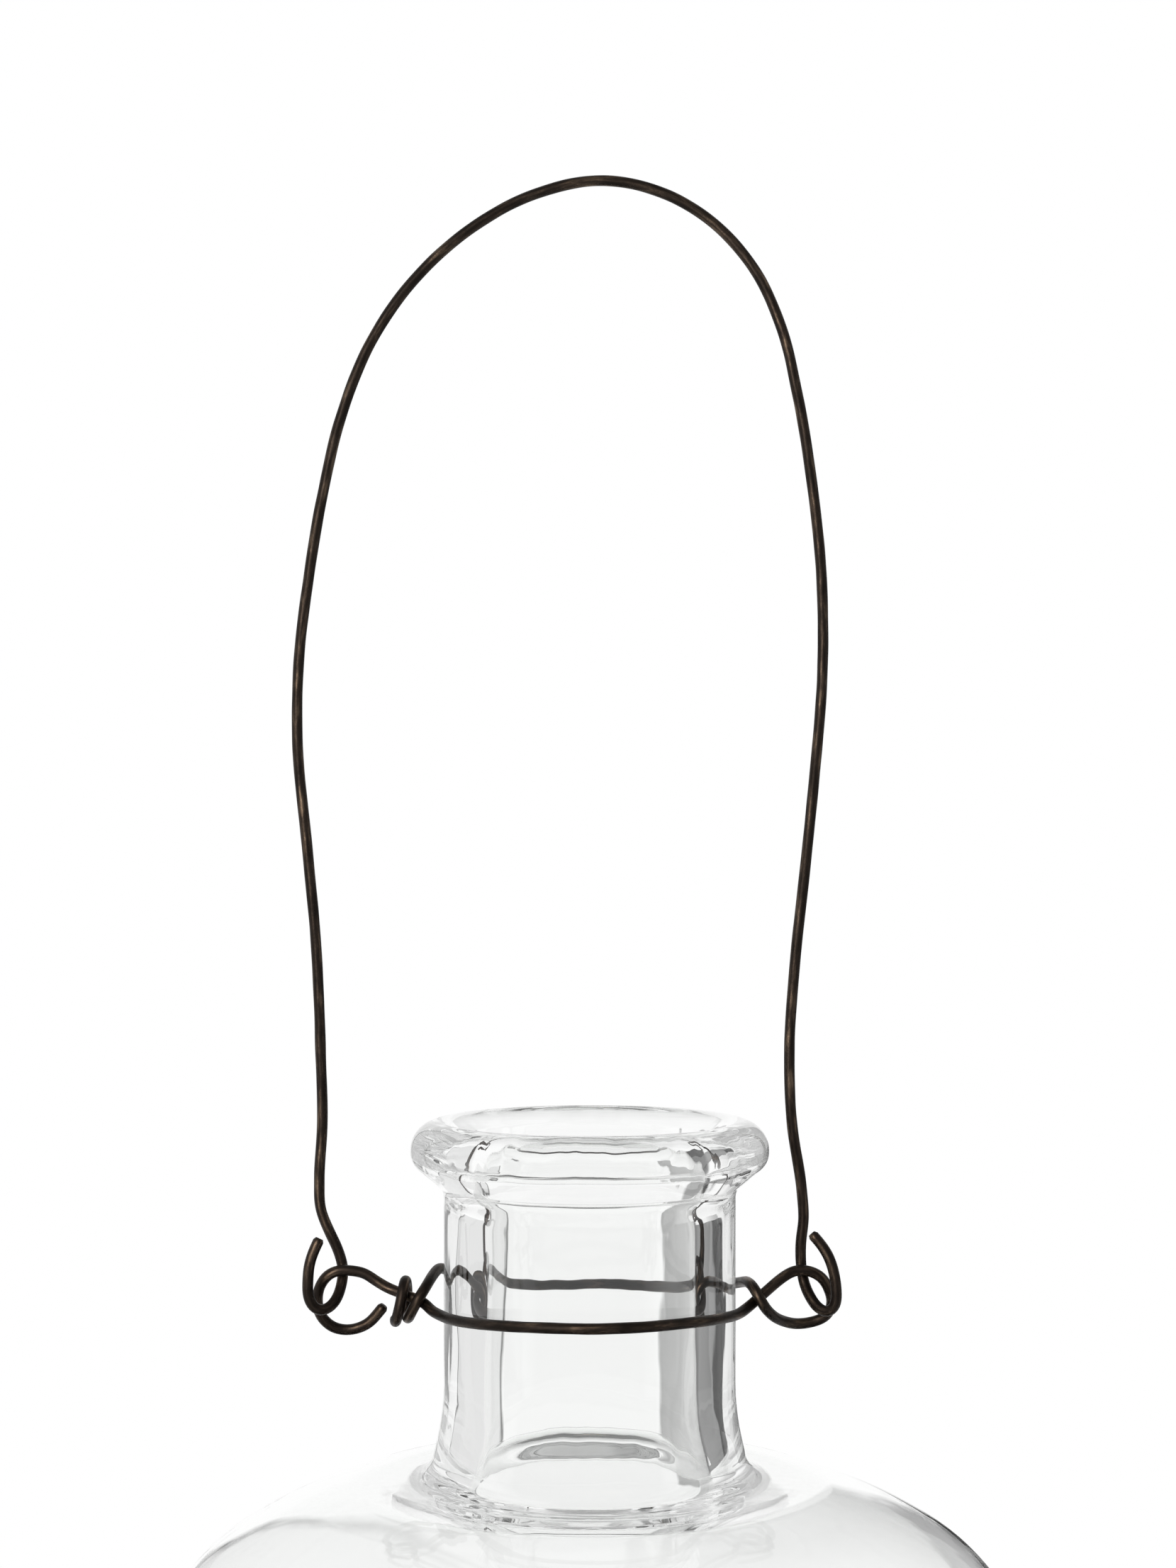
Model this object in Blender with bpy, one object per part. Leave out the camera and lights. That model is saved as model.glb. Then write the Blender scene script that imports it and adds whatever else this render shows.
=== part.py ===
"""Jar lantern: a thick glass jar with a wire collar, a wire bail handle and a tea light inside.

Metres, +Z up. The origin is on the jar's axis, in the plane that the jar stands on.
The bail arches over the mouth in the XZ plane, and its hooks pass through the collar's two eyes.
"""
import math

import bpy
from mathutils import Vector
from mathutils.geometry import interpolate_bezier

MM = 0.001
GAP = 0.3 * MM

# Glass jar
RIM_Z = 290 * MM
LIP_R = 43 * MM
LIP_UNDERSIDE_Z = 280.2 * MM
NECK_R = 35 * MM
NECK_TOP_Z = 273.5 * MM
NECK_FOOT_Z = 205 * MM
NECK_FOOT_R = 38.5 * MM
MOUTH_R = 34.5 * MM
FUNNEL_R = 29.5 * MM
FUNNEL_Z = 286.2 * MM
BORE_R = 25.5 * MM
BORE_TOP_Z = 268 * MM
BORE_FOOT_R = 29 * MM
SHOULDER_Z = 178.8 * MM
BODY_R = 107 * MM
HEEL_R = 104 * MM
REST_RING_R = 62 * MM
PUNT_Z = 5 * MM
WALL = 3.5 * MM
FLOOR_Z = 11 * MM
JAR_SEGMENTS = 48
ARC_STEP = math.radians(17)

# Wire
WIRE_R = 1.3 * MM
WIRE_BEVEL_RESOLUTION = 3
FINE_STEP = 0.7 * MM
RELAX_PASSES = 5
BEND_STEP = math.radians(17)
LONGEST_STEP = 8 * MM
COLLAR_Z = 246 * MM
COLLAR_R = NECK_R + WIRE_R + GAP
HINGE_H = 7.9

# Tea light
CUP_R = 19 * MM
CUP_HEIGHT = 16 * MM
CUP_WALL = 0.4 * MM
CUP_Z = FLOOR_Z + GAP
WAX_R = CUP_R - CUP_WALL - GAP
WAX_Z = CUP_Z + CUP_WALL + GAP
WAX_HEIGHT = 13.5 * MM
MELT_DEPTH = 0.8 * MM
WICK_R = 1.1 * MM
WICK_RISE = 9 * MM
TAB_R = 6.5 * MM
TAB_THICKNESS = 0.5 * MM
CRIMP_HEIGHT = 4 * MM
CUP_SEGMENTS = 36
WICK_SEGMENTS = 10

# The wires' routes, as (x, y, height above the collar's plane) in millimetres.
# The collar is one wire: the open left eye, the front band, the closed right eye, then the back band.
LEFT_EYE = (
    (-49.5, 3.2, -1.0),
    (-53.8, 4.0, -5.7),
    (-57.9, 4.6, -7.1),
    (-61.9, 4.4, -6.4),
    (-64.7, 3.6, -3.6),
    (-65.5, 2.3, 0.7),
    (-64.5, 0.9, 4.6),
    (-62.2, 0.1, 7.2),
    (-60.4, 0.0, HINGE_H),
    (-57.2, 0.0, HINGE_H),
    (-54.2, -0.1, 7.4),
    (-51.2, -0.3, 5.5),
)
WRAPPED_STRAND = ((-48.2, -0.6, 3.8), (-40.0, -3.4, 1.0))
FRONT_BAND_START = (-37.6, -6.4, -0.6)
FRONT_BAND = ((197, -1.2), (209, -1.0), (222, -0.7), (236, -0.3), (252, 0.0), (270, 0.0),
              (288, 0.1), (305, 0.1), (318, -0.1), (330, -0.4), (341, -0.8))
RIGHT_EYE = (
    (36.9, -6.7, -0.4),
    (38.7, -4.4, 0.6),
    (40.8, -2.9, 2.2),
    (43.3, -2.0, 4.2),
    (46.2, -1.1, 6.4),
    (49.2, 0.0, HINGE_H),
    (52.4, 0.0, HINGE_H),
    (55.2, 0.4, 6.6),
    (57.4, 1.3, 3.4),
    (58.3, 2.7, -0.6),
    (56.6, 3.8, -3.9),
    (53.2, 4.2, -5.2),
    (49.6, 3.3, -5.4),
    (46.2, 0.6, -4.2),
    (43.6, -2.9, -2.3),
    (41.8, -5.3, -0.1),
    (40.4, -6.7, 2.4),
    (39.1, -5.2, 4.5),
    (37.9, -0.6, 5.2),
    (36.8, 5.0, 4.4),
)
BACK_BAND = ((22, 2.6), (38, 1.0), (55, 0.2), (72, 0.0), (90, 0.0), (108, 0.0), (123, 0.4),
             (137, 1.4), (150, 3.6), (163, 6.6))
BACK_BAND_WRAP = (
    (-36.5, 5.5, 7.5),
    (-37.8, 0.9, 6.4),
    (-39.1, -3.6, 4.6),
    (-40.8, -6.3, 2.0),
    (-42.2, -5.6, -0.7),
    (-43.2, -3.2, -2.8),
    (-43.7, -0.4, -3.4),
    (-43.9, 1.7, -1.6),
    (-43.9, 2.0, 1.4),
    (-43.9, 1.2, 4.4),
    (-44.1, -1.4, 5.9),
    (-44.4, -4.3, 4.7),
    (-44.9, -5.3, 1.8),
    (-45.5, -5.4, -1.0),
    (-46.1, -4.0, -3.2),
    (-46.5, -1.4, -4.2),
    (-46.7, 1.2, -3.8),
)

# The bail, from the cut end of its left hook over the arch to the cut end of its right hook.
LEFT_HOOK = (
    (-64.5, -3.6, 16.1),
    (-65.9, -4.2, 13.0),
    (-66.9, -4.5, 9.6),
    (-67.2, -4.7, 6.2),
    (-67.2, -4.8, 3.2),
    (-66.4, -4.7, 0.6),
    (-64.8, -4.1, -1.0),
    (-62.8, -2.8, -0.9),
    (-61.0, -1.0, 0.7),
    (-59.8, 1.3, 3.6),
    (-59.4, 3.0, HINGE_H),
    (-60.4, 3.0, 12.0),
)
ARCH = (
    (-62.6, 3.0, 16.8),
    (-64.8, 3.1, 22.4),
    (-65.1, 3.2, 29.0),
    (-64.4, 3.4, 42.0),
    (-64.8, 3.4, 60.0),
    (-65.8, 3.0, 85.0),
    (-68.0, 2.2, 110.0),
    (-70.2, 1.2, 135.0),
    (-69.8, 0.4, 154.0),
    (-67.4, -0.2, 174.0),
    (-64.2, -0.6, 193.0),
    (-59.6, -0.8, 212.5),
    (-52.4, -0.8, 230.5),
    (-42.0, -0.6, 245.5),
    (-29.0, -0.2, 257.4),
    (-13.0, 0.2, 266.2),
    (3.6, 0.4, 269.4),
    (18.6, 0.4, 266.0),
    (30.4, 0.2, 258.6),
    (39.6, -0.2, 247.8),
    (45.8, -0.4, 234.5),
    (50.0, -0.4, 217.0),
    (53.2, -0.2, 197.5),
    (55.6, 0.4, 175.0),
    (55.9, 1.2, 151.0),
    (54.0, 2.0, 126.0),
    (51.6, 2.8, 102.0),
    (49.2, 3.2, 79.0),
    (48.1, 3.4, 60.0),
    (48.8, 3.3, 42.0),
    (51.0, 3.2, 27.5),
)
RIGHT_HOOK = (
    (51.5, 3.1, 20.5),
    (50.8, 3.0, 13.5),
    (51.0, 3.0, HINGE_H),
    (51.7, 1.7, 4.2),
    (53.0, -0.6, 1.4),
    (54.7, -2.6, -0.7),
    (56.7, -3.9, -1.4),
    (58.3, -4.6, -0.2),
    (58.8, -4.8, 2.2),
    (58.7, -4.7, 5.2),
    (58.1, -4.5, 8.8),
    (56.8, -4.2, 12.2),
    (55.0, -3.8, 15.0),
    (53.0, -3.6, 17.3),
)


def clear_scene():
    for obj in list(bpy.data.objects):
        bpy.data.objects.remove(obj, do_unlink=True)


def material(name, colour, roughness, metallic=0.0, transmission=0.0):
    made = bpy.data.materials.new(name)
    made.use_nodes = True
    shader = made.node_tree.nodes["Principled BSDF"]
    shader.inputs["Base Color"].default_value = (*colour, 1.0)
    shader.inputs["Roughness"].default_value = roughness
    shader.inputs["Metallic"].default_value = metallic
    shader.inputs["Transmission Weight"].default_value = transmission
    return made


def add_object(name, data, surface):
    data.materials.append(surface)
    obj = bpy.data.objects.new(name, data)
    bpy.context.scene.collection.objects.link(obj)
    return obj


def round_corners(corners):
    """Points along an outline of (r, z, fillet radius) corners, each fillet drawn as an arc."""
    points = []
    for i, (r, z, radius) in enumerate(corners):
        here = Vector((r, z))
        if radius == 0 or i in (0, len(corners) - 1):
            points.append(here)
            continue
        before = (Vector(corners[i - 1][:2]) - here).normalized()
        after = (Vector(corners[i + 1][:2]) - here).normalized()
        half_angle = before.angle(after) / 2
        centre = here + (before + after).normalized() * (radius / math.sin(half_angle))
        first = here + before * (radius / math.tan(half_angle)) - centre
        turn = first.angle_signed(here + after * (radius / math.tan(half_angle)) - centre)
        steps = max(1, math.ceil(abs(turn) / ARC_STEP))
        for k in range(steps + 1):
            angle = -turn * k / steps
            cosine, sine = math.cos(angle), math.sin(angle)
            points.append(centre + Vector((first.x * cosine - first.y * sine,
                                           first.x * sine + first.y * cosine)))
    return points


def inset_corners(corners, wall):
    """The corners of the parallel outline one wall inside an outline that runs down its outer side."""
    inner = []
    for i in range(1, len(corners) - 1):
        here = Vector(corners[i][:2])
        arriving = (here - Vector(corners[i - 1][:2])).normalized()
        leaving = (Vector(corners[i + 1][:2]) - here).normalized()
        inward = [Vector((way.y, -way.x)) for way in (arriving, leaving)]
        corner = here + (inward[0] + inward[1]) * (wall / (1 + inward[0].dot(inward[1])))
        concave = arriving.x * leaving.y - arriving.y * leaving.x > 0
        radius = corners[i][2] + (wall if concave else -wall)
        inner.append((corner.x, corner.y, radius))
    return inner


def turned(name, profile, segments, surface, closed=False):
    """A solid turned about +Z; its profile runs down its outer side, and is closed or ends on the axis."""
    mesh = bpy.data.meshes.new(name)
    edges = [(i, i + 1) for i in range(len(profile) - 1)]
    if closed:
        edges.append((len(profile) - 1, 0))
    mesh.from_pydata([(r, 0.0, z) for r, z in profile], edges, [])
    obj = add_object(name, mesh, surface)
    screw = obj.modifiers.new("turn", "SCREW")
    screw.steps = segments
    screw.render_steps = segments
    screw.use_merge_vertices = True
    screw.merge_threshold = 0.00001
    screw.use_smooth_shade = True
    return obj


def jar_profile():
    """Inner floor and wall, narrow bore, flared mouth, rolled lip, neck, shoulder, body, heel and base."""
    body = [
        (LIP_R, RIM_Z, 7 * MM),
        (LIP_R, LIP_UNDERSIDE_Z, 5 * MM),
        (NECK_R, NECK_TOP_Z, 4 * MM),
        (NECK_R, NECK_FOOT_Z + 16 * MM, 60 * MM),
        (NECK_FOOT_R, NECK_FOOT_Z, 6.5 * MM),
        (54.2 * MM, NECK_FOOT_Z, 25 * MM),
        (73.4 * MM, 198.3 * MM, 80 * MM),
        (BODY_R, SHOULDER_Z, 45 * MM),
        (HEEL_R, 0.0, 22 * MM),
        (REST_RING_R, 0.0, 10 * MM),
    ]
    base = [(30 * MM, PUNT_Z, 60 * MM), (0.0, PUNT_Z, 0.0)]
    heel = (HEEL_R - WALL, FLOOR_Z, 18 * MM)
    wall = inset_corners(body[4:9], WALL)
    bore = [
        (43 * MM, NECK_FOOT_Z - 3.8 * MM, 10 * MM),
        (BORE_FOOT_R, NECK_FOOT_Z - 6 * MM, 8 * MM),
        (BORE_R, NECK_FOOT_Z + 12 * MM, 60 * MM),
        (BORE_R, BORE_TOP_Z, 20 * MM),
        (FUNNEL_R, FUNNEL_Z, 1.5 * MM),
        (MOUTH_R, RIM_Z, 4 * MM),
    ]
    return round_corners([(0.0, FLOOR_Z, 0.0), heel] + wall[::-1] + bore + body + base)


def smooth_route(points):
    """Closely spaced points on a smooth curve through a route's points, as bent wire runs."""
    gaps = [(after - before).length for before, after in zip(points, points[1:])]
    ways = [(after - before).normalized() for before, after in zip(points, points[1:])]
    slopes = [ways[0]]
    for i in range(1, len(ways)):
        slopes.append((ways[i - 1] * gaps[i] + ways[i] * gaps[i - 1]) / (gaps[i - 1] + gaps[i]))
    slopes.append(ways[-1])
    route = [points[0]]
    for i, gap in enumerate(gaps):
        handles = points[i] + slopes[i] * (gap / 3), points[i + 1] - slopes[i + 1] * (gap / 3)
        steps = max(1, round(gap / FINE_STEP))
        route += interpolate_bezier(points[i], *handles, points[i + 1], steps + 1)[1:]
    for _ in range(RELAX_PASSES):
        middle = [(p + q * 2 + r) / 4 for p, q, r in zip(route, route[1:], route[2:])]
        route = [route[0]] + middle + [route[-1]]
    return route


def thinned(route):
    """The points of a route that its shape needs: more of them where it bends, fewer along its runs."""
    kept = [route[0]]
    way = route[1] - route[0]
    for here, after in zip(route[1:-1], route[2:]):
        run = (here - kept[-1]).length
        if way.angle(after - here) > BEND_STEP or run > LONGEST_STEP:
            kept.append(here)
            way = after - here
    return kept + [route[-1]]


def at_collar(points):
    """Route points in metres from (x, y, height above the collar's plane) in millimetres."""
    return [Vector((x * MM, y * MM, COLLAR_Z + h * MM)) for x, y, h in points]


def on_collar(angle, height):
    """A point of the collar's circle round the neck, angle in degrees from +X, height in mm."""
    turn = math.radians(angle)
    return Vector((COLLAR_R * math.cos(turn), COLLAR_R * math.sin(turn), COLLAR_Z + height * MM))


def wire(name, points, surface):
    """A round wire along a smooth curve through its route's points."""
    route = thinned(smooth_route(points))
    curve = bpy.data.curves.new(name, "CURVE")
    curve.dimensions = "3D"
    curve.bevel_depth = WIRE_R
    curve.bevel_resolution = WIRE_BEVEL_RESOLUTION
    curve.use_fill_caps = True
    spline = curve.splines.new("POLY")
    spline.points.add(len(route) - 1)
    for point, place in zip(spline.points, route):
        point.co = (*place, 1.0)
    spline.use_smooth = True
    return add_object(name, curve, surface)


def collar_route():
    """The collar's one wire, from its free end in the left eye to the end wound round its strand."""
    far, near = at_collar(WRAPPED_STRAND)
    strand = [far.lerp(near, k / 4) for k in range(5)]
    left = at_collar(LEFT_EYE) + strand + at_collar([FRONT_BAND_START])
    front = [on_collar(angle, height) for angle, height in FRONT_BAND]
    back = [on_collar(angle, height) for angle, height in BACK_BAND]
    return left + front + at_collar(RIGHT_EYE) + back + at_collar(BACK_BAND_WRAP)


def make_cup(tin):
    """The tea light's thin metal cup, with a beaded rim."""
    rim = CUP_Z + CUP_HEIGHT
    bead = 0.5 * MM
    outline = [
        (0.0, CUP_Z + CUP_WALL, 0.0),
        (CUP_R - CUP_WALL, CUP_Z + CUP_WALL, 0.6 * MM),
        (CUP_R - CUP_WALL, rim, 0.15 * MM),
        (CUP_R + bead, rim, 0.4 * MM),
        (CUP_R + bead, rim - 2 * bead, 0.4 * MM),
        (CUP_R, rim - 2 * bead, 0.0),
        (CUP_R, CUP_Z, 1.0 * MM),
        (0.0, CUP_Z, 0.0),
    ]
    turned("tea_light_cup", round_corners(outline), CUP_SEGMENTS, tin)


def make_wax(wax):
    """The wax that fills the cup: a shallow melt pool, the wick's bore and a recess over the wick's tab."""
    top = WAX_Z + WAX_HEIGHT
    bore_r = WICK_R + GAP
    crimp_r = bore_r + TAB_THICKNESS + GAP
    tab_top = WAX_Z + TAB_THICKNESS + GAP
    crimp_top = WAX_Z + CRIMP_HEIGHT + GAP
    outline = [
        (bore_r, top - MELT_DEPTH, 0.0),
        (WAX_R - 3 * MM, top - MELT_DEPTH, 8 * MM),
        (WAX_R, top, 0.3 * MM),
        (WAX_R, WAX_Z, 0.9 * MM),
        (TAB_R + GAP, WAX_Z, 0.0),
        (TAB_R + GAP, tab_top, 0.0),
        (crimp_r, tab_top, 0.0),
        (crimp_r, crimp_top, 0.0),
        (bore_r, crimp_top, 0.0),
    ]
    turned("tea_light_wax", round_corners(outline), CUP_SEGMENTS, wax, closed=True)


def make_wick(cotton, tin):
    """The cotton wick and the tin tab whose crimp holds its foot."""
    tab_top = WAX_Z + TAB_THICKNESS
    bore_r = WICK_R + GAP
    crimp_r = bore_r + TAB_THICKNESS
    wick_top = WAX_Z + WAX_HEIGHT - MELT_DEPTH + WICK_RISE
    wick_foot = tab_top + GAP
    wick = [(0.0, wick_top), (WICK_R, wick_top), (WICK_R, wick_foot), (0.0, wick_foot)]
    turned("wick", wick, WICK_SEGMENTS, cotton)
    tab = [
        (0.0, tab_top),
        (bore_r, tab_top),
        (bore_r, WAX_Z + CRIMP_HEIGHT),
        (crimp_r, WAX_Z + CRIMP_HEIGHT),
        (crimp_r, tab_top),
        (TAB_R, tab_top),
        (TAB_R, WAX_Z),
        (0.0, WAX_Z),
    ]
    turned("wick_tab", tab, CUP_SEGMENTS // 2, tin)


def main():
    clear_scene()
    glass = material("clear_glass", (0.95, 0.96, 0.95), 0.05, transmission=1.0)
    iron = material("dark_bronzed_iron", (0.035, 0.025, 0.02), 0.45, metallic=1.0)
    wax = material("white_wax", (0.90, 0.88, 0.82), 0.5)
    cotton = material("wick_cotton", (0.72, 0.68, 0.58), 0.9)
    tin = material("thin_tin", (0.72, 0.72, 0.71), 0.3, metallic=1.0)
    turned("glass_jar", jar_profile(), JAR_SEGMENTS, glass)
    wire("neck_wire", collar_route(), iron)
    bail = LEFT_HOOK + ARCH + RIGHT_HOOK
    wire("bail_handle", at_collar(bail), iron)
    make_cup(tin)
    make_wax(wax)
    make_wick(cotton, tin)


main()
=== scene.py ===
"""Jar lantern, as it looks: heavy hand-made glass, hand-bent patinated wire, and a tea light in the jar.

Metres, +Z up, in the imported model's own frame. The jar stands on z = 0 with its axis on the Z axis.
"""

import math

import bmesh
import bpy
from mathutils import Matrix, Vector, noise
from mathutils.geometry import interpolate_bezier


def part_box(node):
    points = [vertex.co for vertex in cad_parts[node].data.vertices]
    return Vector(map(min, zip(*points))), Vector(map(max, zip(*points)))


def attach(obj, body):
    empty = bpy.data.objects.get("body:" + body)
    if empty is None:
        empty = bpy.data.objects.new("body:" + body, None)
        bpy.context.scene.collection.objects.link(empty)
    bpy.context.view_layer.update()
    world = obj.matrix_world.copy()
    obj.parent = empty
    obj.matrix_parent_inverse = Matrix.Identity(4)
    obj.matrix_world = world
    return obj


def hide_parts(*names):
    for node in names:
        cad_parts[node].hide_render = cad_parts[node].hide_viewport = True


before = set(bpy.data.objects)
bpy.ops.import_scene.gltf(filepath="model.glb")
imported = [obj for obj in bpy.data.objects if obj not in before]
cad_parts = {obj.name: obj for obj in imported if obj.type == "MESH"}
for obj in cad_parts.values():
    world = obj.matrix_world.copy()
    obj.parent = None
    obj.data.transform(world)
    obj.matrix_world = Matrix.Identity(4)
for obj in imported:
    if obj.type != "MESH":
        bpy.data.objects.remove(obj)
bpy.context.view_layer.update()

MM = 0.001
GAP = 0.3 * MM

# Places read from the frame
JAR_LOW, JAR_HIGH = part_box("glass_jar")
JAR_FOOT_Z = JAR_LOW.z
RIM_Z = JAR_HIGH.z

# Glass jar, outer skin from the lip down to the push-up in its base
LIP_R = 43 * MM
LIP_UNDERSIDE_Z = RIM_Z - 9.8 * MM
NECK_R = 35 * MM
NECK_TOP_Z = RIM_Z - 16.5 * MM
NECK_FOOT_R = 38.5 * MM
NECK_FOOT_Z = RIM_Z - 85 * MM
NECK_FLARE_Z = NECK_FOOT_Z + 16 * MM
LEDGE_R = 54.2 * MM
SLOPE_R = 73.4 * MM
SLOPE_Z = NECK_FOOT_Z - 6.7 * MM
BODY_R = 107 * MM
SHOULDER_Z = RIM_Z - 111.2 * MM
HEEL_R = 104 * MM
REST_RING_R = 62 * MM
PUNT_R = 30 * MM
PUNT_Z = JAR_FOOT_Z + 5 * MM

# Glass jar, inner skin from the floor up to the mouth
WALL = 3.5 * MM
FLOOR_Z = JAR_FOOT_Z + 11 * MM
WEDGE_R = 43 * MM
WEDGE_Z = NECK_FOOT_Z - 3.8 * MM
BORE_FOOT_R = 29 * MM
BORE_FOOT_Z = NECK_FOOT_Z - 6 * MM
BORE_R = 25.5 * MM
BORE_FLARE_Z = NECK_FOOT_Z + 12 * MM
BORE_TOP_Z = RIM_Z - 22 * MM
FUNNEL_R = 29.5 * MM
FUNNEL_Z = RIM_Z - 3.8 * MM
MOUTH_R = 34.5 * MM

# Waves of hand-made glass: their depth, then how many noise cells span a radius
OUTER_WAVE, OUTER_CELLS = 0.12 * MM, 1.3
INNER_WAVE, INNER_CELLS = 0.12 * MM, 1.7
BORE_WAVE = 0.3 * MM
FUNNEL_WAVE, FUNNEL_CELLS = 0.8 * MM, 3.5
RIPPLE_WAVE, RIPPLE_CELLS = 0.2 * MM, 14.0
STREAK_WAVE, STREAK_CELLS = 0.05 * MM, 9.0
WAVE_HEIGHT = 45 * MM
STREAK_HEIGHT = 11 * MM
INNER_OFFSET = Vector((7.0, 3.0, 1.0))

JAR_SEGMENTS = 264
JAR_ARC_STEP = math.radians(3.5)
JAR_LONGEST_RUN = 5 * MM

# Wire
WIRE_R = 1.3 * MM
WIRE_SIDES = 20
WIRE_DENT = 0.07 * MM
DENT_LENGTH = 7.0  # mm along the wire
DENT_CELLS = 0.8
NIPPED_END = 0.7
FINE_STEP = 0.7 * MM
RELAX_PASSES = 5
COLLAR_Z = RIM_Z - 44 * MM
COLLAR_R = NECK_R + WIRE_R + GAP
HINGE_H = 7.9  # the bail's hinge line, in mm above the collar's plane

# The wires' routes, as (x, y, height above the collar's plane) in millimetres.
# The collar is one wire: the open left eye, the front band, the closed right eye, then the back band.
# The two bands lie on the neck, so their points are (degrees from +X, height).
LEFT_EYE = (
    (-49.5, 3.2, -1.0),
    (-53.8, 4.0, -5.7),
    (-57.9, 4.6, -7.1),
    (-61.9, 4.4, -6.4),
    (-64.7, 3.6, -3.6),
    (-65.5, 2.3, 0.7),
    (-64.5, 0.9, 4.6),
    (-62.2, 0.1, 7.2),
    (-60.4, 0.0, HINGE_H),
    (-57.2, 0.0, HINGE_H),
    (-54.2, -0.1, 7.4),
    (-51.2, -0.3, 5.5),
)
WRAPPED_STRAND = ((-48.2, -0.6, 3.8), (-40.0, -3.4, 1.0))
FRONT_BAND_START = (-37.6, -6.4, -0.6)
FRONT_BAND = ((197, -1.2), (209, -1.0), (222, -0.7), (236, -0.3), (252, 0.0), (270, 0.0),
              (288, 0.1), (305, 0.1), (318, -0.1), (330, -0.4), (341, -0.8))
RIGHT_EYE = (
    (36.9, -6.7, -0.4),
    (38.7, -4.4, 0.6),
    (40.8, -2.9, 2.2),
    (43.3, -2.0, 4.2),
    (46.2, -1.1, 6.4),
    (49.2, 0.0, HINGE_H),
    (52.4, 0.0, HINGE_H),
    (55.2, 0.4, 6.6),
    (57.4, 1.3, 3.4),
    (58.3, 2.7, -0.6),
    (56.6, 3.8, -3.9),
    (53.2, 4.2, -5.2),
    (49.6, 3.3, -5.4),
    (46.2, 0.6, -4.2),
    (43.6, -2.9, -2.3),
    (41.8, -5.3, -0.1),
    (40.4, -6.7, 2.4),
    (39.1, -5.2, 4.5),
    (37.9, -0.6, 5.2),
    (36.8, 5.0, 4.4),
)
BACK_BAND = ((22, 2.6), (38, 1.0), (55, 0.2), (72, 0.0), (90, 0.0), (108, 0.0), (123, 0.4),
             (137, 1.4), (150, 3.6), (163, 6.6))
BACK_BAND_WRAP = (
    (-36.5, 5.5, 7.5),
    (-37.8, 0.9, 6.4),
    (-39.1, -3.6, 4.6),
    (-40.8, -6.3, 2.0),
    (-42.2, -5.6, -0.7),
    (-43.2, -3.2, -2.8),
    (-43.7, -0.4, -3.4),
    (-43.9, 1.7, -1.6),
    (-43.9, 2.0, 1.4),
    (-43.9, 1.2, 4.4),
    (-44.1, -1.4, 5.9),
    (-44.4, -4.3, 4.7),
    (-44.9, -5.3, 1.8),
    (-45.5, -5.4, -1.0),
    (-46.1, -4.0, -3.2),
    (-46.5, -1.4, -4.2),
    (-46.7, 1.2, -3.8),
)

# The bail, from the cut end of its left hook over the arch to the cut end of its right hook.
LEFT_HOOK = (
    (-64.5, -3.6, 16.1),
    (-65.9, -4.2, 13.0),
    (-66.9, -4.5, 9.6),
    (-67.2, -4.7, 6.2),
    (-67.2, -4.8, 3.2),
    (-66.4, -4.7, 0.6),
    (-64.8, -4.1, -1.0),
    (-62.8, -2.8, -0.9),
    (-61.0, -1.0, 0.7),
    (-59.8, 1.3, 3.6),
    (-59.4, 3.0, HINGE_H),
    (-60.4, 3.0, 12.0),
)
ARCH = (
    (-62.6, 3.0, 16.8),
    (-64.8, 3.1, 22.4),
    (-65.1, 3.2, 29.0),
    (-64.4, 3.4, 42.0),
    (-64.8, 3.4, 60.0),
    (-65.8, 3.0, 85.0),
    (-68.0, 2.2, 110.0),
    (-70.2, 1.2, 135.0),
    (-69.8, 0.4, 154.0),
    (-67.4, -0.2, 174.0),
    (-64.2, -0.6, 193.0),
    (-59.6, -0.8, 212.5),
    (-52.4, -0.8, 230.5),
    (-42.0, -0.6, 245.5),
    (-29.0, -0.2, 257.4),
    (-13.0, 0.2, 266.2),
    (3.6, 0.4, 269.4),
    (18.6, 0.4, 266.0),
    (30.4, 0.2, 258.6),
    (39.6, -0.2, 247.8),
    (45.8, -0.4, 234.5),
    (50.0, -0.4, 217.0),
    (53.2, -0.2, 197.5),
    (55.6, 0.4, 175.0),
    (55.9, 1.2, 151.0),
    (54.0, 2.0, 126.0),
    (51.6, 2.8, 102.0),
    (49.2, 3.2, 79.0),
    (48.1, 3.4, 60.0),
    (48.8, 3.3, 42.0),
    (51.0, 3.2, 27.5),
)
RIGHT_HOOK = (
    (51.5, 3.1, 20.5),
    (50.8, 3.0, 13.5),
    (51.0, 3.0, HINGE_H),
    (51.7, 1.7, 4.2),
    (53.0, -0.6, 1.4),
    (54.7, -2.6, -0.7),
    (56.7, -3.9, -1.4),
    (58.3, -4.6, -0.2),
    (58.8, -4.8, 2.2),
    (58.7, -4.7, 5.2),
    (58.1, -4.5, 8.8),
    (56.8, -4.2, 12.2),
    (55.0, -3.8, 15.0),
    (53.0, -3.6, 17.3),
)

# Camera and studio
CAMERA_DISTANCE = 780 * MM
CAMERA_RISE = 124.6 * MM
CAMERA_X = -0.4 * MM
SENSOR = 36.0
LENS = 74.67
FLOOR_R = 0.6
FLOOR_SOFT_START = 0.25
FLOOR_SOFT_END = 0.58

# The surroundings' brightness by the upward part of a direction, from level (0) to straight up (1)
CEILING = ((0.60, 1.0), (0.72, 0.85), (0.96, 0.80), (0.985, 0.20))

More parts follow.
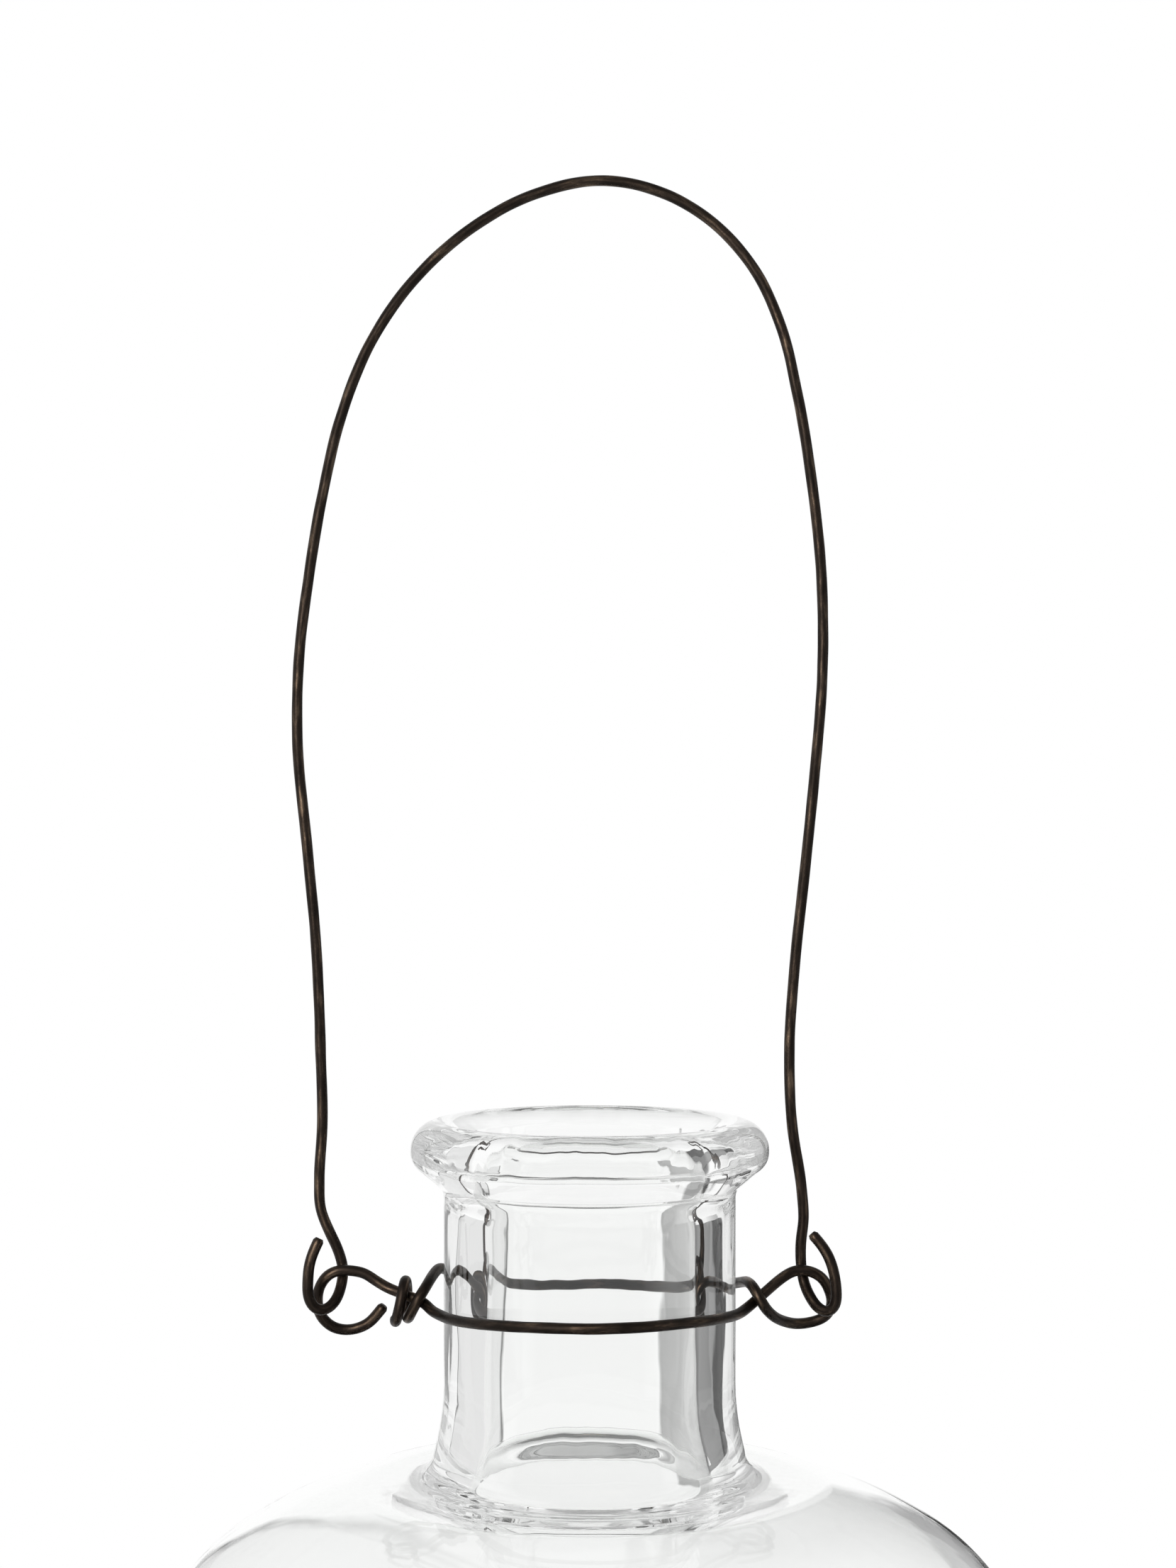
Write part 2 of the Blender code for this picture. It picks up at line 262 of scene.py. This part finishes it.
# Two rings of boards round the lantern: (degrees from +Y towards +X, brightness).
# Light that comes from a little below level and is turned inside the glass's wall is lit by the second ring,
# which gives the thick neck its dark bands. All other light that reaches glass or wire is lit by the first.
OPEN_BOARDS = (
    (-180, 0.45), (-112, 0.45), (-106, 1.0), (-66, 1.0), (-62, 0.78), (-19.2, 0.78), (-18.4, 0.04),
    (-17.6, 0.04), (-17.0, 1.0), (12.0, 1.0), (12.6, 0.40), (24, 0.52), (42, 0.90), (48, 1.0),
    (58, 1.0), (62, 0.10), (88, 0.10), (92, 1.0), (106, 1.0), (112, 0.45), (180, 0.45),
)
WALL_BOARDS = (
    (-180, 0.45), (-112, 0.45), (-106, 1.0), (-66, 1.0), (-62, 0.78), (-19.2, 0.78), (-18.4, 0.04),
    (-17.6, 0.04), (-17.0, 1.0), (8, 1.0), (9.5, 0.02), (31, 0.03), (32.5, 0.28), (58, 0.34),
    (62, 0.22), (88, 0.22), (92, 1.0), (106, 1.0), (112, 0.45), (180, 0.45),
)
WALL_CROSSINGS = 2.5      # fewer surfaces crossed than this: the light stayed in one wall
WALL_TURNS = 0.5          # more reflections than this: the light was turned inside that wall
WALL_SLOPE = -0.18        # the upward part of the direction that the light comes from
WALL_SLOPE_SPREAD = 0.12
LIGHT_BOUNCES = 128       # light runs far round inside the thick glass before it leaves

LAMP_SIZE = (0.25, 0.7)
LAMP_POWER = 7.0
LAMP_PLACE = (-0.45, -0.85, 0.55)
LAMP_COLOUR = (1.0, 0.93, 0.86)

# Finishes
GLASS_TINT = (0.985, 0.99, 0.985, 1.0)
GLASS_IOR = 1.5
OILED_IRON = (0.012, 0.0085, 0.0065)
BROWN_IRON = (0.028, 0.020, 0.015)
RUBBED_IRON = (0.095, 0.068, 0.047)
BRONZED_IRON = (0.230, 0.175, 0.125)
IRON_STREAK = (0.9, 0.9, 0.11)  # noise cells across the wire, twice, then per mm along it
WAX_DARK = (0.86, 0.83, 0.76)
WAX_LIGHT = (0.93, 0.91, 0.86)
COTTON_DARK = (0.66, 0.61, 0.50)
COTTON_LIGHT = (0.84, 0.80, 0.70)
FLOOR_COLOUR = (0.92, 0.92, 0.92, 1.0)


# ---------------------------------------------------------------- node helpers

def grey(value):
    return (value, value, value)


def new_material(name):
    """A node material with its shader, node tree and links at hand."""
    made = bpy.data.materials.new(name)
    made.use_nodes = True
    tree = made.node_tree
    return made, tree, tree.nodes["Principled BSDF"]


def node(tree, kind, **settings):
    """A shader node; settings name its properties, or its input sockets by their labels."""
    made = tree.nodes.new(kind)
    for name, value in settings.items():
        label = name.replace("_", " ").title()
        if label in made.inputs:
            made.inputs[label].default_value = value
        else:
            setattr(made, name, value)
    return made


def object_coordinates(tree):
    return node(tree, "ShaderNodeTexCoord").outputs["Object"]


def noise_texture(tree, coordinates, scale, detail=4.0, roughness=0.55):
    made = node(tree, "ShaderNodeTexNoise", scale=scale, detail=detail, roughness=roughness)
    tree.links.new(coordinates, made.inputs["Vector"])
    return made.outputs["Fac"]


def ramp(tree, value, stops):
    """A colour ramp; stops are (position, (r, g, b))."""
    made = node(tree, "ShaderNodeValToRGB")
    elements = made.color_ramp.elements
    while len(elements) < len(stops):
        elements.new(0.5)
    for element, (position, colour) in zip(elements, stops):
        element.position = position
        element.color = (*colour, 1.0)
    tree.links.new(value, made.inputs["Fac"])
    return made.outputs["Color"]


def connect(tree, value, socket):
    """Feeds a socket from another node's output, or sets it to a plain value."""
    if isinstance(value, bpy.types.NodeSocket):
        tree.links.new(value, socket)
    else:
        socket.default_value = value


def calculate(tree, operation, *values):
    """A math node; each value is a number or another node's output."""
    made = node(tree, "ShaderNodeMath", operation=operation)
    for value, socket in zip(values, made.inputs):
        connect(tree, value, socket)
    return made.outputs["Value"]


def mix_colours(tree, share, first, second, blend="MIX"):
    made = node(tree, "ShaderNodeMix", data_type="RGBA", blend_type=blend)
    connect(tree, share, made.inputs["Factor"])
    connect(tree, first, made.inputs["A"])
    connect(tree, second, made.inputs["B"])
    return made.outputs["Result"]


def bump(tree, height, strength, distance):
    made = node(tree, "ShaderNodeBump", strength=strength, distance=distance)
    tree.links.new(height, made.inputs["Height"])
    return made.outputs["Normal"]


# ---------------------------------------------------------------- materials

def clear_glass():
    """Heavy clear glass with faint ripples."""
    made, tree, shader = new_material("clear_glass")
    shader.inputs["Base Color"].default_value = GLASS_TINT
    shader.inputs["Roughness"].default_value = 0.0
    shader.inputs["IOR"].default_value = GLASS_IOR
    shader.inputs["Transmission Weight"].default_value = 1.0
    place = object_coordinates(tree)
    ripples = noise_texture(tree, place, 55.0, detail=2.0)
    tree.links.new(bump(tree, ripples, 0.08, 0.0006), shader.inputs["Normal"])
    return made


def dark_iron():
    """Annealed iron wire: an oiled brown-black skin, rubbed to bronze in streaks along the wire."""
    made, tree, shader = new_material("dark_iron")
    drawn = node(tree, "ShaderNodeAttribute", attribute_name="drawn").outputs["Vector"]
    stretch = node(tree, "ShaderNodeVectorMath", operation="MULTIPLY")
    stretch.inputs[1].default_value = IRON_STREAK
    tree.links.new(drawn, stretch.inputs[0])
    rubbed = noise_texture(tree, stretch.outputs["Vector"], 1.0, detail=8.0, roughness=0.62)
    colour = ramp(tree, rubbed, (
        (0.40, OILED_IRON),
        (0.54, BROWN_IRON),
        (0.66, RUBBED_IRON),
        (0.80, BRONZED_IRON),
    ))
    tree.links.new(colour, shader.inputs["Base Color"])
    finish = ramp(tree, rubbed, ((0.40, grey(0.46)), (0.70, grey(0.34))))
    tree.links.new(finish, shader.inputs["Roughness"])
    shader.inputs["Metallic"].default_value = 0.85
    pits = noise_texture(tree, object_coordinates(tree), 1100.0, detail=4.0)
    tree.links.new(bump(tree, pits, 0.28, 0.0002), shader.inputs["Normal"])
    return made


def white_wax():
    """Soft white wax, slightly cloudy."""
    made, tree, shader = new_material("white_wax")
    place = object_coordinates(tree)
    clouds = noise_texture(tree, place, 160.0, detail=5.0)
    tree.links.new(ramp(tree, clouds, ((0.30, WAX_DARK), (0.70, WAX_LIGHT))),
                   shader.inputs["Base Color"])
    tree.links.new(ramp(tree, clouds, ((0.3, grey(0.38)), (0.7, grey(0.55)))),
                   shader.inputs["Roughness"])
    shader.inputs["Subsurface Weight"].default_value = 0.35
    shader.inputs["Subsurface Radius"].default_value = (0.004, 0.003, 0.002)
    tree.links.new(bump(tree, clouds, 0.2, 0.0003), shader.inputs["Normal"])
    return made


def thin_tin():
    """Thin bright tin with a fine, uneven grain."""
    made, tree, shader = new_material("thin_tin")
    place = object_coordinates(tree)
    grain = noise_texture(tree, place, 700.0, detail=4.0)
    tree.links.new(ramp(tree, grain, ((0.3, grey(0.62)), (0.7, grey(0.78)))),
                   shader.inputs["Base Color"])
    tree.links.new(ramp(tree, grain, ((0.3, grey(0.22)), (0.7, grey(0.36)))),
                   shader.inputs["Roughness"])
    shader.inputs["Metallic"].default_value = 1.0
    tree.links.new(bump(tree, grain, 0.15, 0.0001), shader.inputs["Normal"])
    return made


def wick_cotton():
    """Waxed cotton with fine fibres."""
    made, tree, shader = new_material("wick_cotton")
    place = object_coordinates(tree)
    fibres = noise_texture(tree, place, 2200.0, detail=4.0)
    tree.links.new(ramp(tree, fibres, ((0.3, COTTON_DARK), (0.7, COTTON_LIGHT))),
                   shader.inputs["Base Color"])
    shader.inputs["Roughness"].default_value = 0.85
    tree.links.new(bump(tree, fibres, 0.5, 0.0002), shader.inputs["Normal"])
    return made


# ---------------------------------------------------------------- shapes

def add_mesh(name, bm, surface):
    """A smooth-shaded object from a bmesh, with its faces turned out."""
    bmesh.ops.recalc_face_normals(bm, faces=bm.faces)
    mesh = bpy.data.meshes.new(name)
    bm.to_mesh(mesh)
    bm.free()
    mesh.shade_smooth()
    mesh.materials.append(surface)
    made = bpy.data.objects.new(name, mesh)
    bpy.context.scene.collection.objects.link(made)
    return made


def round_corners(corners, arc_step=JAR_ARC_STEP):
    """Points along an outline of (r, z, fillet radius) corners, each fillet drawn as an arc."""
    points = []
    for i, (r, z, radius) in enumerate(corners):
        here = Vector((r, z))
        if radius == 0 or i in (0, len(corners) - 1):
            points.append(here)
            continue
        before = (Vector(corners[i - 1][:2]) - here).normalized()
        after = (Vector(corners[i + 1][:2]) - here).normalized()
        half_angle = before.angle(after) / 2
        centre = here + (before + after).normalized() * (radius / math.sin(half_angle))
        first = here + before * (radius / math.tan(half_angle)) - centre
        turn = first.angle_signed(here + after * (radius / math.tan(half_angle)) - centre)
        steps = max(1, math.ceil(abs(turn) / arc_step))
        for k in range(steps + 1):
            angle = -turn * k / steps
            cosine, sine = math.cos(angle), math.sin(angle)
            points.append(centre + Vector((first.x * cosine - first.y * sine,
                                           first.x * sine + first.y * cosine)))
    return points


def inset_corners(corners, wall):
    """The corners of the parallel outline one wall inside an outline that runs down its outer side."""
    inner = []
    for i in range(1, len(corners) - 1):
        here = Vector(corners[i][:2])
        arriving = (here - Vector(corners[i - 1][:2])).normalized()
        leaving = (Vector(corners[i + 1][:2]) - here).normalized()
        inward = [Vector((way.y, -way.x)) for way in (arriving, leaving)]
        corner = here + (inward[0] + inward[1]) * (wall / (1 + inward[0].dot(inward[1])))
        concave = arriving.x * leaving.y - arriving.y * leaving.x > 0
        radius = corners[i][2] + (wall if concave else -wall)
        inner.append((corner.x, corner.y, radius))
    return inner


def split_runs(points, longest):
    """The same outline with its long straight runs cut into shorter ones."""
    made = [points[0]]
    for before, after in zip(points, points[1:]):
        parts = max(1, math.ceil((after - before).length / longest))
        made += [before.lerp(after, k / parts) for k in range(1, parts + 1)]
    return made


def jar_outlines():
    """The jar's inner outline, up from the floor to the mouth, and its outer one, down to the base."""
    body = [
        (LIP_R, RIM_Z, 7 * MM),
        (LIP_R, LIP_UNDERSIDE_Z, 5 * MM),
        (NECK_R, NECK_TOP_Z, 4 * MM),
        (NECK_R, NECK_FLARE_Z, 60 * MM),
        (NECK_FOOT_R, NECK_FOOT_Z, 6.5 * MM),
        (LEDGE_R, NECK_FOOT_Z, 25 * MM),
        (SLOPE_R, SLOPE_Z, 80 * MM),
        (BODY_R, SHOULDER_Z, 45 * MM),
        (HEEL_R, JAR_FOOT_Z, 22 * MM),
        (REST_RING_R, JAR_FOOT_Z, 10 * MM),
    ]
    base = [(PUNT_R, PUNT_Z, 60 * MM), (0.0, PUNT_Z, 0.0)]
    floor = [(0.0, FLOOR_Z, 0.0), (HEEL_R - WALL, FLOOR_Z, 18 * MM)]
    wall = inset_corners(body[4:9], WALL)
    bore = [
        (WEDGE_R, WEDGE_Z, 10 * MM),
        (BORE_FOOT_R, BORE_FOOT_Z, 8 * MM),
        (BORE_R, BORE_FLARE_Z, 60 * MM),
        (BORE_R, BORE_TOP_Z, 20 * MM),
        (FUNNEL_R, FUNNEL_Z, 1.5 * MM),
        (MOUTH_R, RIM_Z, 4 * MM),
    ]
    corners = floor + wall[::-1] + bore + body + base
    return split_runs(round_corners(corners), JAR_LONGEST_RUN)


def glass_jar(surface):
    """The jar turned about its axis, with both skins slightly uneven."""
    outline = jar_outlines()
    crest = max(range(len(outline)), key=lambda i: outline[i].y)
    bm = bmesh.new()
    rings = []
    for i, point in enumerate(outline):
        if point.x < 1e-6:
            rings.append([bm.verts.new((0.0, 0.0, point.y))])
            continue
        ring = []
        for k in range(JAR_SEGMENTS):
            angle = math.tau * k / JAR_SEGMENTS
            ring.append(bm.verts.new(uneven(point, angle, i < crest)))
        rings.append(ring)
    for lower, upper in zip(rings, rings[1:]):
        join_rings(bm, lower, upper)
    return add_mesh("jar_glass", bm, surface)


def uneven(point, angle, inside):
    """A point of the jar's skin, with the slow waves of hand-made glass but a level base."""
    r, z = point
    around = Vector((math.cos(angle), math.sin(angle), 0.0))
    wave = inner_wave(around, z) if inside else outer_wave(around, z)
    r += wave * smooth_step(z, JAR_FOOT_Z, JAR_FOOT_Z + 20 * MM)
    return (r * around.x, r * around.y, z)


def outer_wave(around, z):
    """Shallow dips only, so that the outer skin never stands proud of its outline."""
    place = around + Vector((0.0, 0.0, z / WAVE_HEIGHT))
    return -abs(noise.noise(place * OUTER_CELLS)) * OUTER_WAVE


def inner_wave(around, z):
    """Slow waves, deeper and streaked in the bore, and a rough ring where the funnel meets the mouth."""
    place = around + Vector((0.0, 0.0, z / WAVE_HEIGHT))
    in_bore = smooth_step(z, NECK_FOOT_Z - 15 * MM, NECK_FOOT_Z + 10 * MM)
    in_bore *= 1 - smooth_step(z, FUNNEL_Z, RIM_Z)
    at_funnel = smooth_step(z, FUNNEL_Z - 5 * MM, FUNNEL_Z)
    at_funnel *= 1 - smooth_step(z, FUNNEL_Z, RIM_Z - 0.5 * MM)
    streak = around * STREAK_CELLS + Vector((0.0, 0.0, z / STREAK_HEIGHT))
    wave = noise.noise(place * INNER_CELLS + INNER_OFFSET) * (INNER_WAVE + BORE_WAVE * in_bore)
    wave += noise.noise(place * FUNNEL_CELLS) * FUNNEL_WAVE * at_funnel
    wave += noise.noise(place * RIPPLE_CELLS) * RIPPLE_WAVE * at_funnel
    wave += noise.noise(streak) * STREAK_WAVE * in_bore
    return wave


def smooth_step(value, low, high):
    share = min(1.0, max(0.0, (value - low) / (high - low)))
    return share * share * (3 - 2 * share)


def join_rings(bm, first, second):
    """Faces between two rings of vertices, either of which may be a single point."""
    count = max(len(first), len(second))
    for k in range(count):
        after = (k + 1) % count
        if len(first) == 1:
            bm.faces.new((first[0], second[k], second[after]))
        elif len(second) == 1:
            bm.faces.new((first[k], second[0], first[after]))
        else:
            bm.faces.new((first[k], second[k], second[after], first[after]))


def smooth_route(points):
    """Closely spaced points on a smooth curve through a route's points, as bent wire runs."""
    gaps = [(after - before).length for before, after in zip(points, points[1:])]
    ways = [(after - before).normalized() for before, after in zip(points, points[1:])]
    slopes = [ways[0]]
    for i in range(1, len(ways)):
        slopes.append((ways[i - 1] * gaps[i] + ways[i] * gaps[i - 1]) / (gaps[i - 1] + gaps[i]))
    slopes.append(ways[-1])
    route = [points[0]]
    for i, gap in enumerate(gaps):
        handles = points[i] + slopes[i] * (gap / 3), points[i + 1] - slopes[i + 1] * (gap / 3)
        steps = max(1, round(gap / FINE_STEP))
        route += interpolate_bezier(points[i], *handles, points[i + 1], steps + 1)[1:]
    for _ in range(RELAX_PASSES):
        middle = [(p + q * 2 + r) / 4 for p, q, r in zip(route, route[1:], route[2:])]
        route = [route[0]] + middle + [route[-1]]
    return route


def at_collar(points):
    """Route points in metres from (x, y, height above the collar's plane) in millimetres."""
    return [Vector((x * MM, y * MM, COLLAR_Z + h * MM)) for x, y, h in points]


def on_collar(angle, height):
    """A point of the collar's circle round the neck, angle in degrees from +X, height in mm."""
    turn = math.radians(angle)
    return Vector((COLLAR_R * math.cos(turn), COLLAR_R * math.sin(turn), COLLAR_Z + height * MM))


def collar_route():
    """The collar's one wire, from its free end in the left eye to the end wound round its strand."""
    far, near = at_collar(WRAPPED_STRAND)
    strand = [far.lerp(near, k / 4) for k in range(5)]
    left = at_collar(LEFT_EYE) + strand + at_collar([FRONT_BAND_START])
    front = [on_collar(angle, height) for angle, height in FRONT_BAND]
    back = [on_collar(angle, height) for angle, height in BACK_BAND]
    return left + front + at_collar(RIGHT_EYE) + back + at_collar(BACK_BAND_WRAP)


def wire(name, points, surface):
    """A round wire along a smooth curve, faintly dented, with nipped ends."""
    route = smooth_route(points)
    bm = bmesh.new()
    drawn = bm.verts.layers.float_vector.new("drawn")
    side = (route[1] - route[0]).orthogonal().normalized()
    rings = []
    travelled = 0.0
    for i, place in enumerate(route):
        travelled += (place - route[i - 1]).length / MM if i else 0.0
        nipped = NIPPED_END if i in (0, len(route) - 1) else 1.0
        way = (route[min(i + 1, len(route) - 1)] - route[max(i - 1, 0)]).normalized()
        side = (side - way * side.dot(way)).normalized()
        across = way.cross(side)
        ring = []
        for k in range(WIRE_SIDES):
            angle = math.tau * k / WIRE_SIDES
            out = side * math.cos(angle) + across * math.sin(angle)
            dent_place = out * DENT_CELLS + Vector((0.0, 0.0, travelled / DENT_LENGTH))
            dent = noise.noise(dent_place) * WIRE_DENT
            vert = bm.verts.new(place + out * (WIRE_R * nipped + dent))
            vert[drawn] = (math.cos(angle), math.sin(angle), travelled)
            ring.append(vert)
        rings.append(ring)
    for first, second in zip(rings, rings[1:]):
        join_rings(bm, first, second)
    bm.faces.new(rings[0][::-1])
    bm.faces.new(rings[-1])
    return add_mesh(name, bm, surface)


# ---------------------------------------------------------------- studio

def set_camera():
    """Level with the middle of the upright bail, straight on."""
    lens = bpy.data.cameras.new("camera")
    lens.sensor_width = SENSOR
    lens.lens = LENS
    made = bpy.data.objects.new("camera", lens)
    bpy.context.scene.collection.objects.link(made)
    made.location = (CAMERA_X, -CAMERA_DISTANCE, COLLAR_Z + CAMERA_RISE)
    made.rotation_euler = (math.radians(90), 0.0, 0.0)
    bpy.context.scene.camera = made


def set_world():
    """A studio that is plain white to the camera and on dull surfaces. The glass also sees its boards."""
    world = bpy.data.worlds.new("studio")
    world.use_nodes = True
    tree = world.node_tree
    way = node(tree, "ShaderNodeSeparateXYZ")
    tree.links.new(node(tree, "ShaderNodeTexCoord").outputs["Generated"], way.inputs["Vector"])
    path = node(tree, "ShaderNodeLightPath")
    azimuth = share_of_turn(tree, way)
    boards = mix_colours(tree, turned_in_wall(tree, path, way.outputs["Z"]),
                         board_ring(tree, azimuth, OPEN_BOARDS),
                         board_ring(tree, azimuth, WALL_BOARDS))
    ceiling = ramp(tree, way.outputs["Z"], [(height, grey(shade)) for height, shade in CEILING])
    surroundings = mix_colours(tree, 1.0, boards, ceiling, blend="MULTIPLY")
    plain = calculate(tree, "MAXIMUM", path.outputs["Is Camera Ray"], path.outputs["Is Diffuse Ray"])
    seen = mix_colours(tree, plain, surroundings, (1.0, 1.0, 1.0, 1.0))
    tree.links.new(seen, tree.nodes["Background"].inputs["Color"])
    bpy.context.scene.world = world


def share_of_turn(tree, way):
    """A direction's azimuth as a share of a full turn, which is 0.5 along +Y."""
    share = node(tree, "ShaderNodeMapRange")
    share.inputs["From Min"].default_value = -math.pi
    share.inputs["From Max"].default_value = math.pi
    azimuth = calculate(tree, "ARCTAN2", way.outputs["X"], way.outputs["Y"])
    tree.links.new(azimuth, share.inputs["Value"])
    return share.outputs["Result"]


def board_ring(tree, azimuth, boards):
    """The brightness of a ring of boards, by azimuth."""
    return ramp(tree, azimuth, [((degrees + 180) / 360, grey(shade)) for degrees, shade in boards])


def turned_in_wall(tree, path, height):
    """1 for light from a little below level that is turned inside the glass's wall, else 0."""
    in_wall = calculate(tree, "LESS_THAN", path.outputs["Transmission Depth"], WALL_CROSSINGS)
    turned = calculate(tree, "GREATER_THAN", path.outputs["Glossy Depth"], WALL_TURNS)
    level = calculate(tree, "COMPARE", height, WALL_SLOPE, WALL_SLOPE_SPREAD)
    both = calculate(tree, "MULTIPLY", in_wall, turned)
    return calculate(tree, "MULTIPLY", both, level)


def set_light_paths():
    """Plain colours, and paths long enough for light to find its way out of the glass."""
    bpy.context.scene.view_settings.view_transform = "Standard"
    cycles = bpy.context.scene.cycles
    cycles.max_bounces = LIGHT_BOUNCES
    cycles.transmission_bounces = LIGHT_BOUNCES
    cycles.glossy_bounces = LIGHT_BOUNCES


def set_lamp(wires):
    """A soft lamp to the left, in front, that lights only the wires, for their long highlights."""
    lamp = bpy.data.lights.new("lamp", "AREA")
    lamp.shape = "RECTANGLE"
    lamp.size, lamp.size_y = LAMP_SIZE
    lamp.energy = LAMP_POWER
    lamp.color = LAMP_COLOUR
    made = bpy.data.objects.new("lamp", lamp)
    bpy.context.scene.collection.objects.link(made)
    made.location = LAMP_PLACE
    aim = Vector((0.0, 0.0, COLLAR_Z)) - made.location
    made.rotation_euler = aim.to_track_quat("-Z", "Y").to_euler()
    lit = bpy.data.collections.new("lit_by_lamp")
    for piece in wires:
        lit.objects.link(piece)
    made.light_linking.receiver_collection = lit


def pale_floor():
    """A pale floor that fades into the white surroundings away from the lantern."""
    bm = bmesh.new()
    bmesh.ops.create_circle(bm, cap_ends=True, segments=96, radius=FLOOR_R)
    made, tree, shader = new_material("pale_floor")
    shader.inputs["Base Color"].default_value = FLOOR_COLOUR
    shader.inputs["Roughness"].default_value = 0.9
    away = node(tree, "ShaderNodeVectorMath", operation="LENGTH")
    tree.links.new(object_coordinates(tree), away.inputs[0])
    fade = node(tree, "ShaderNodeMapRange", interpolation_type="SMOOTHSTEP")
    fade.inputs["From Min"].default_value = FLOOR_SOFT_START
    fade.inputs["From Max"].default_value = FLOOR_SOFT_END
    tree.links.new(away.outputs["Value"], fade.inputs["Value"])
    glow = node(tree, "ShaderNodeEmission")
    mix = node(tree, "ShaderNodeMixShader")
    tree.links.new(fade.outputs["Result"], mix.inputs["Fac"])
    tree.links.new(shader.outputs["BSDF"], mix.inputs[1])
    tree.links.new(glow.outputs["Emission"], mix.inputs[2])
    tree.links.new(mix.outputs["Shader"], tree.nodes["Material Output"].inputs["Surface"])
    floor = add_mesh("floor", bm, made)
    floor.location.z = JAR_FOOT_Z - 0.1 * MM


def main():
    glass = clear_glass()
    iron = dark_iron()
    jar = glass_jar(glass)
    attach(jar, "jar")
    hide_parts("glass_jar")
    collar = wire("collar_wire", collar_route(), iron)
    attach(collar, "collar")
    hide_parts("neck_wire")
    bail = wire("bail_wire", at_collar(LEFT_HOOK + ARCH + RIGHT_HOOK), iron)
    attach(bail, "bail")
    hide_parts("bail_handle")
    tin = thin_tin()
    finishes = {
        "tea_light_cup": tin,
        "tea_light_wax": white_wax(),
        "wick": wick_cotton(),
        "wick_tab": tin,
    }
    for name, surface in finishes.items():
        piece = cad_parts[name]
        piece.data.materials.clear()
        piece.data.materials.append(surface)
    set_camera()
    set_world()
    set_light_paths()
    set_lamp([collar, bail])
    pale_floor()


main()
